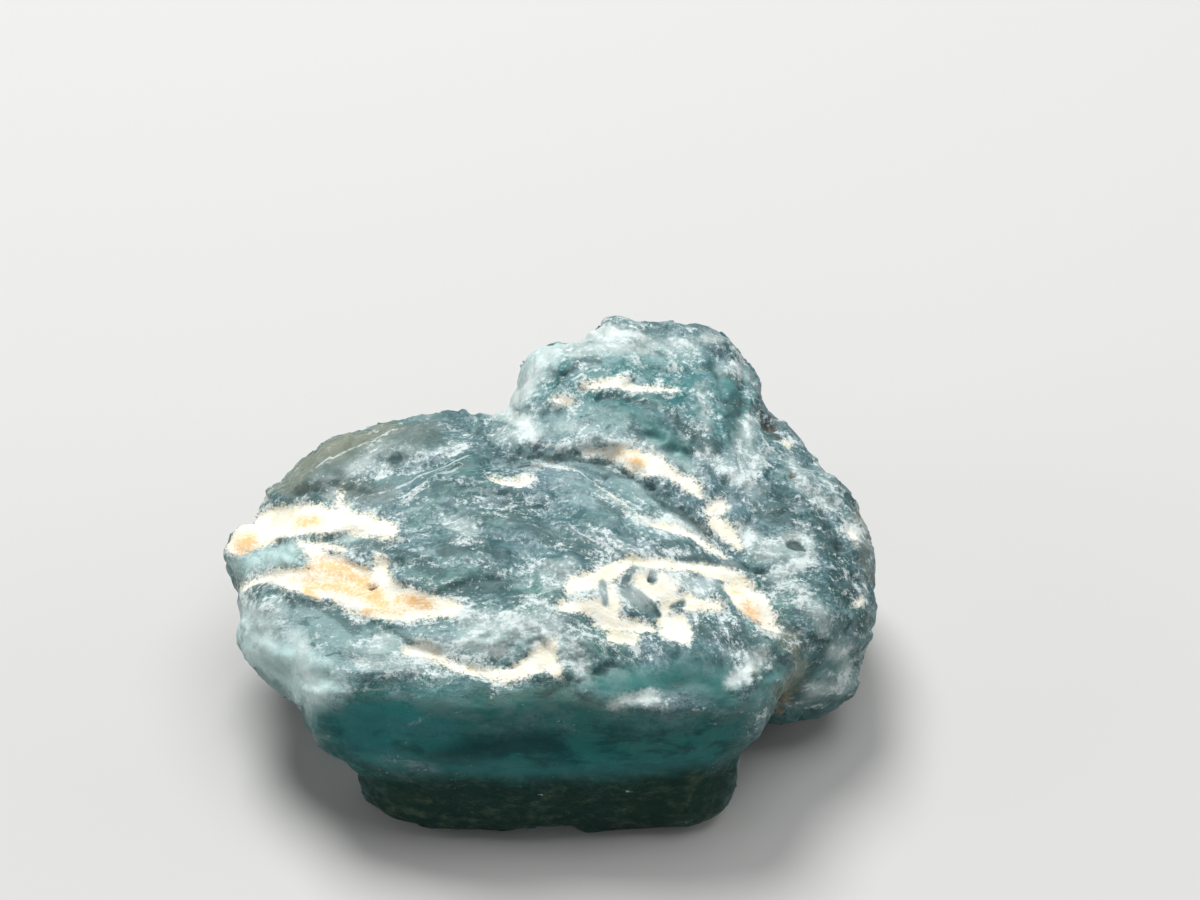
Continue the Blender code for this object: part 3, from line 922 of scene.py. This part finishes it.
def stone_material():
    """Waterworn blue-green stone with scuffs, veils, flecks and crusts, with painted shade on the front, foot and
    undersides, a painted glow at thin edges and painted glints.
    """
    g = Graph("grandidierite_stone")
    coordinates = g.add("ShaderNodeTexCoord", {}).outputs["Object"]
    place = g.scaled(coordinates, 1.0 / MM)
    warp = g.add("ShaderNodeTexNoise", {"Vector": place, "Scale": WARP_SCALE, "Detail": 2.0}).outputs["Color"]
    warp = g.scaled(g.add("ShaderNodeVectorMath", {0: warp, 1: (0.5, 0.5, 0.5)}, operation="SUBTRACT").outputs[0],
                    2.0 * WARP_REACH)
    bent = g.plus(place, warp)
    swirl = g.add("ShaderNodeCombineXYZ", {0: g.field("along"), 1: g.field("across")}).outputs[0]
    swirl = g.plus(swirl, warp)
    chip = g.field("chip")
    small_chip = g.field("small_chip")

    def spots(layer, where=place):
        shade = g.noise(where, layer.scale, layer.detail, layer.roughness)
        return g.step(shade, layer.low, layer.high, 0.0, layer.share)

    def grain_noise(layer):
        straight = g.noise(g.stretched(bent, layer.scale, FLOW_TURN_DEG), 1.0, layer.detail, layer.roughness)
        curved = g.noise(g.stretched(swirl, layer.scale), 1.0, layer.detail, layer.roughness)
        return g.blend(g.field("swirl"), straight, curved)

    def grain(layer, grit=0.0):
        shade = grain_noise(layer)
        if grit:
            shade = g.math("MULTIPLY_ADD", granules, grit, shade)
        return g.step(shade, layer.low, layer.high, 0.0, layer.share)

    def strands(layer):
        distance = g.math("ABSOLUTE", g.math("SUBTRACT", grain_noise(layer), 0.5))
        return g.step(distance, layer.low, layer.high, layer.share, 0.0)

    granules = g.noise(place, GRANULES.scale, GRANULES.detail, GRANULES.roughness)
    granules = g.math("SUBTRACT", granules, 0.5)
    fine = g.noise(place, 9.0, 3.0, 0.70)
    ragged = g.math("MULTIPLY_ADD", g.noise(place, 5.0, 4.0, 0.75), 0.6, g.noise(place, 1.1, 8.0, 0.72))
    ragged = g.math("SUBTRACT", ragged, 0.80)

    def mark(name, edge):
        field = g.math("MULTIPLY_ADD", ragged, edge.ragged, g.field(name))
        return g.step(field, edge.low, edge.high, 0.0, edge.share)

    drift = g.math("MULTIPLY", g.math("SUBTRACT", g.noise(place, 0.35, 3.0), 0.5), FRONT_DRIFT)
    front = g.math("MULTIPLY_ADD", ragged, FRONT_EDGE.ragged, g.math("ADD", drift, g.field("front")))
    front = g.step(front, FRONT_EDGE.low, FRONT_EDGE.high, 0.0, FRONT_EDGE.share)
    foot = mark("foot", FOOT_EDGE)
    milk = mark("milk", MILK_EDGE)
    pale = mark("pale", PALE_EDGE)
    teal = mark("teal", TEAL_EDGE)
    covered = g.math("MAXIMUM", g.math("MAXIMUM", front, foot), g.math("MULTIPLY", g.field("under"), 0.8))
    exposed = g.math("SUBTRACT", 1.0, covered)

    # Body colour
    rich = mark("rich", TONE_EDGE)
    body = g.mix(spots(BODY_SLOW), BLUE_TEAL, GREEN_TEAL)
    body = g.mix(rich, body, RICH_MID)
    gap = mark("gap", GAP_EDGE)
    dark_tone = g.mix(rich, DEEP_TEAL, RICH_DEEP)
    dark_tone = g.mix(mark("gloom", TONE_EDGE), dark_tone, GLOOM_DEEP)
    body = g.mix(grain(BODY_DARK, BODY_GRIT), dark_tone, body)
    body = g.mix(g.step(chip, 0.0, CHIP_DARK[0], CHIP_DARK[1], 0.0), body, dark_tone)
    body = g.mix(g.step(small_chip, CHIP_LIGHT[0], 1.0, 0.0, CHIP_LIGHT[1]), body, LIGHT_TEAL)
    body = g.mix(grain(BODY_LIGHT, BODY_GRIT), body, LIGHT_TEAL)
    body = g.mix(mark("wash", WASH_EDGE), body, WASHED)
    # Painted glow and painted light: pale teal at the thin edges and on the left slope
    body = g.mix(pale, body, PALE_GLOW_TEAL)
    body = g.mix(teal, body, SMOOTH_TEAL)
    body = g.mix(mark("deep", DEEP_EDGE), body, DARK_TEAL)
    body = g.mix(g.math("MULTIPLY", gap, GAP_TINT), body, DARK_TEAL)
    # Painted shade: downward-facing surfaces darkened towards a deep teal
    body = g.mix(g.math("MULTIPLY", g.field("under"), 0.7), body, UNDERSIDE_SHADE_TEAL)
    moss = mark("moss", MOSS_EDGE)
    body = g.mix(moss, body, MOSS)
    body = g.mix(mark("olive", OLIVE_EDGE), body, OLIVE)
    # Painted shade on the front wall: darker towards the bottom, from the lip colour high up to the wall colour low
    # down, over the stone's own deep teal
    height = g.add("ShaderNodeSeparateXYZ", {0: place}).outputs[2]
    height = g.math("MULTIPLY_ADD", ragged, FRONT_SHADE_RAGGED, height)
    lip = g.mix(grain(LIP_TONE), LIP_TEAL, FRONT_SHADE_TEAL)
    wall = g.mix(grain(FRONT_TONE), FRONT_SHADE_TEAL, FRONT_SHADE_NAVY)
    wall = g.mix(mark("navy", NAVY_EDGE), wall, FRONT_SHADE_DEEP)
    wall = g.mix(g.step(height, FRONT_SHADE_TO, FRONT_SHADE_FROM), wall, lip)
    body = g.mix(front, body, g.mix(mark("sea", SEA_EDGE), wall, SEA_TEAL))
    # Painted shadow on the foot under the overhang, over its own mottled green-grey
    body = g.mix(foot, body, g.mix(grain(FOOT_TONE), FOOT_SHADE_GREEN, FOOT_SHADE_GREY))

    # Cracks and hairlines along the grain
    plain = g.math("MAXIMUM", g.math("MAXIMUM", milk, teal), pale)
    bare = g.math("MULTIPLY", exposed, g.math("SUBTRACT", 1.0, plain))
    cracks = g.math("SUBTRACT", CRACKS.share, grain(CRACKS))
    body = g.mix(g.math("MULTIPLY", cracks, bare), body, dark_tone)
    body = g.mix(g.math("MULTIPLY", grain(HAIRS), exposed), body, SCUFF)
    threads = g.math("MULTIPLY", strands(STRANDS), g.math("MULTIPLY", spots(STRAND_PATCHES), bare))
    body = g.mix(threads, body, SCUFF)

    # White crumbs, thick in the veils and round the crusts and thin elsewhere
    veil_share = mark("veil", VEIL_EDGE)
    body = g.mix(g.math("MULTIPLY", veil_share, VEIL_TINT), body, MILKY)
    body = g.mix(milk, body, MILK_WHITE)
    near_crust = g.step(g.field("crust"), -NEAR_CRUST, 0.0, 0.0, NEAR_CRUST_CRUMBS)
    bias = g.math("MULTIPLY_ADD", veil_share, VEIL_CRUMBS, near_crust)
    bias = g.math("MULTIPLY_ADD", spots(WEATHER), WEATHER_CRUMBS, bias)
    bias = g.math("MULTIPLY_ADD", g.math("SUBTRACT", small_chip, 0.5), CHIP_CRUMBS, bias)
    half_clean = g.math("MULTIPLY", g.math("MAXIMUM", pale, moss), 0.5)
    kept_clean = g.math("MAXIMUM", g.math("MAXIMUM", covered, gap), g.math("MAXIMUM", half_clean, teal))
    bias = g.math("MULTIPLY_ADD", kept_clean, COVERED_CRUMBS, bias)
    crumb_noise = g.math("MULTIPLY_ADD", granules, GRANULES.share, grain_noise(CRUMBS))
    crumb_noise = g.math("ADD", crumb_noise, bias)
    crumbs = g.step(crumb_noise, CRUMBS.low, CRUMBS.high, 0.0, CRUMBS.share)
    body = g.mix(crumbs, body, FLECK_AND_GLINT)

    # Painted glints as tiny white specks on weathered, exposed spots, and scratches
    glint_spots = g.math("MULTIPLY", exposed, spots(WEATHER))
    body = g.mix(g.math("MULTIPLY", spots(GLINT_SPECKS), glint_spots), body, FLECK_AND_GLINT)
    line = g.math("ABSOLUTE", g.field("line"))
    lines = g.step(line, SCRATCH_HALF_WIDTH * 0.3, SCRATCH_HALF_WIDTH, SCRATCH_SHARE, 0.0)
    lines = g.math("MULTIPLY", lines, g.field("near_line"))
    body = g.mix(g.math("MULTIPLY", lines, g.step(crumb_noise, 0.30, 0.46)), body, FLECK_AND_GLINT)

    # Crusts: white and grainy at the edge, cream to peach further in
    crust_field = g.math("MULTIPLY_ADD", g.math("SUBTRACT", fine, 0.5), CRUST_GRAINS, g.field("crust"))
    crust_field = g.math("MULTIPLY_ADD", ragged, CRUST_EDGE.ragged, crust_field)
    crust_share = g.step(crust_field, CRUST_EDGE.low, CRUST_EDGE.high)
    crust_share = g.math("MULTIPLY", crust_share, g.math("SUBTRACT", 1.0, gap))
    rust_field = g.math("MULTIPLY_ADD", ragged, RUST_EDGE.ragged, g.field("rust"))
    rust_field = g.math("MULTIPLY_ADD", g.math("SUBTRACT", fine, 0.5), RUST_GRAINS, rust_field)
    rust_share = g.step(rust_field, RUST_EDGE.low, RUST_EDGE.high, 0.0, RUST_EDGE.share)
    crust_tone = g.mix(spots(CRUST_TONE), CRUST_WHITE, CRUST_CREAM)
    crust_tone = g.mix(mark("crust", PEACH_EDGE), crust_tone, CRUST_PEACH)
    crust_tone = g.mix(rust_share, crust_tone, RUST)
    crust_tone = g.mix(spots(CRUST_DIRT), crust_tone, CRUST_DUST)
    crust_tone = g.mix(spots(CRUST_DOTS), crust_tone, DARK_RUST)
    stain = g.step(rust_field, 0.0, 8.0, 0.0, 0.45)
    colour = g.mix(stain, body, DARK_RUST)
    colour = g.mix(crust_share, colour, crust_tone)

    # Brown grains and pits
    grains = g.math("MULTIPLY", mark("grains", GRAINS_EDGE), g.step(crumb_noise, 0.62, 0.46))
    colour = g.mix(grains, colour, GRAIN_BROWN)
    pit_share = g.step(g.field("pit"), -1.0, 1.2, 0.0, 0.9)
    pit_tone = g.mix(g.step(g.field("brown"), -2.0, 1.0), PIT_DARK, PIT_BROWN)
    colour = g.mix(pit_share, colour, pit_tone)
    g.put(g.shader.inputs["Base Color"], colour)

    # Finish
    gloss = g.step(g.noise(place, GLOSS.scale, GLOSS.detail, GLOSS.roughness), GLOSS.low, GLOSS.high,
                   *STONE_ROUGHNESS)
    rough = g.math("MAXIMUM", gloss, g.math("MULTIPLY", crumbs, 0.75))
    g.put(g.shader.inputs["Roughness"], g.blend(crust_share, rough, CRUST_ROUGHNESS))
    g.shader.inputs["IOR"].default_value = STONE_IOR

    shine = g.blend(foot, g.blend(front, STONE_SPECULAR, FRONT_SPECULAR), FOOT_SPECULAR)
    shine = g.math("MULTIPLY", g.math("SUBTRACT", 1.0, crust_share), shine)
    g.put(g.shader.inputs["Specular IOR Level"], shine)

    # Fine bump
    swell = g.math("MULTIPLY_ADD", grain_noise(CRUMBS), 1.1, g.math("MULTIPLY", g.noise(place, 6.0, 6.0, 0.7), 0.4))
    swell = g.math("MULTIPLY_ADD", grain_noise(HAIRS), 0.25, swell)
    swell = g.math("MULTIPLY", swell, g.math("MULTIPLY_ADD", bare, 0.7, 0.3))
    swell = g.math("MULTIPLY_ADD", crust_share, 0.12, swell)
    swell = g.math("MULTIPLY_ADD", g.math("MULTIPLY", fine, crust_share), 0.5, swell)
    bump = g.add("ShaderNodeBump", {"Strength": BUMP_STRENGTH, "Distance": BUMP_DEPTH * MM, "Height": swell})
    g.put(g.shader.inputs["Normal"], bump.outputs[0])
    return g.material


def floor():
    """A plain pale floor under the stone."""
    half = FLOOR_HALF * MM
    mesh = bpy.data.meshes.new("floor")
    corners = [(-half, -half, 0.0), (half, -half, 0.0), (half, half, 0.0), (-half, half, 0.0)]
    mesh.from_pydata(corners, [], [(0, 1, 2, 3)])
    g = Graph("pale_floor")
    g.put(g.shader.inputs["Base Color"], FLOOR_COLOUR)
    g.put(g.shader.inputs["Roughness"], FLOOR_ROUGHNESS)
    mesh.materials.append(g.material)
    plane = bpy.data.objects.new("floor", mesh)
    bpy.context.scene.collection.objects.link(plane)


def lights():
    """Soft studio lights, strongest from behind and above."""
    for name, (place, size, watts) in LIGHTS.items():
        lamp = bpy.data.lights.new(name, "AREA")
        lamp.shape = "DISK"
        lamp.size = size * MM
        lamp.energy = watts
        holder = bpy.data.objects.new(name, lamp)
        holder.location = Vector(place) * MM
        holder.rotation_euler = Vector(place).to_track_quat("Z", "Y").to_euler()
        bpy.context.scene.collection.objects.link(holder)
    world = bpy.data.worlds.new("studio")
    world.use_nodes = True
    background = world.node_tree.nodes["Background"]
    background.inputs["Color"].default_value = (*WORLD_COLOUR, 1.0)
    background.inputs["Strength"].default_value = WORLD_STRENGTH
    bpy.context.scene.world = world
    bpy.context.scene.view_settings.view_transform = "Standard"


def camera():
    """The camera at the photograph's place."""
    data = bpy.data.cameras.new("camera")
    data.lens = LENS_MM
    data.sensor_width = SENSOR_MM
    data.clip_start = 1.0 * MM
    data.clip_end = 3000.0 * MM
    holder = bpy.data.objects.new("camera", data)
    holder.location = Vector(CAMERA_PLACE) * MM
    holder.rotation_euler = (math.radians(CAMERA_TILT_DEG), 0.0, 0.0)
    bpy.context.scene.collection.objects.link(holder)
    bpy.context.scene.camera = holder


stone()
floor()
lights()
camera()
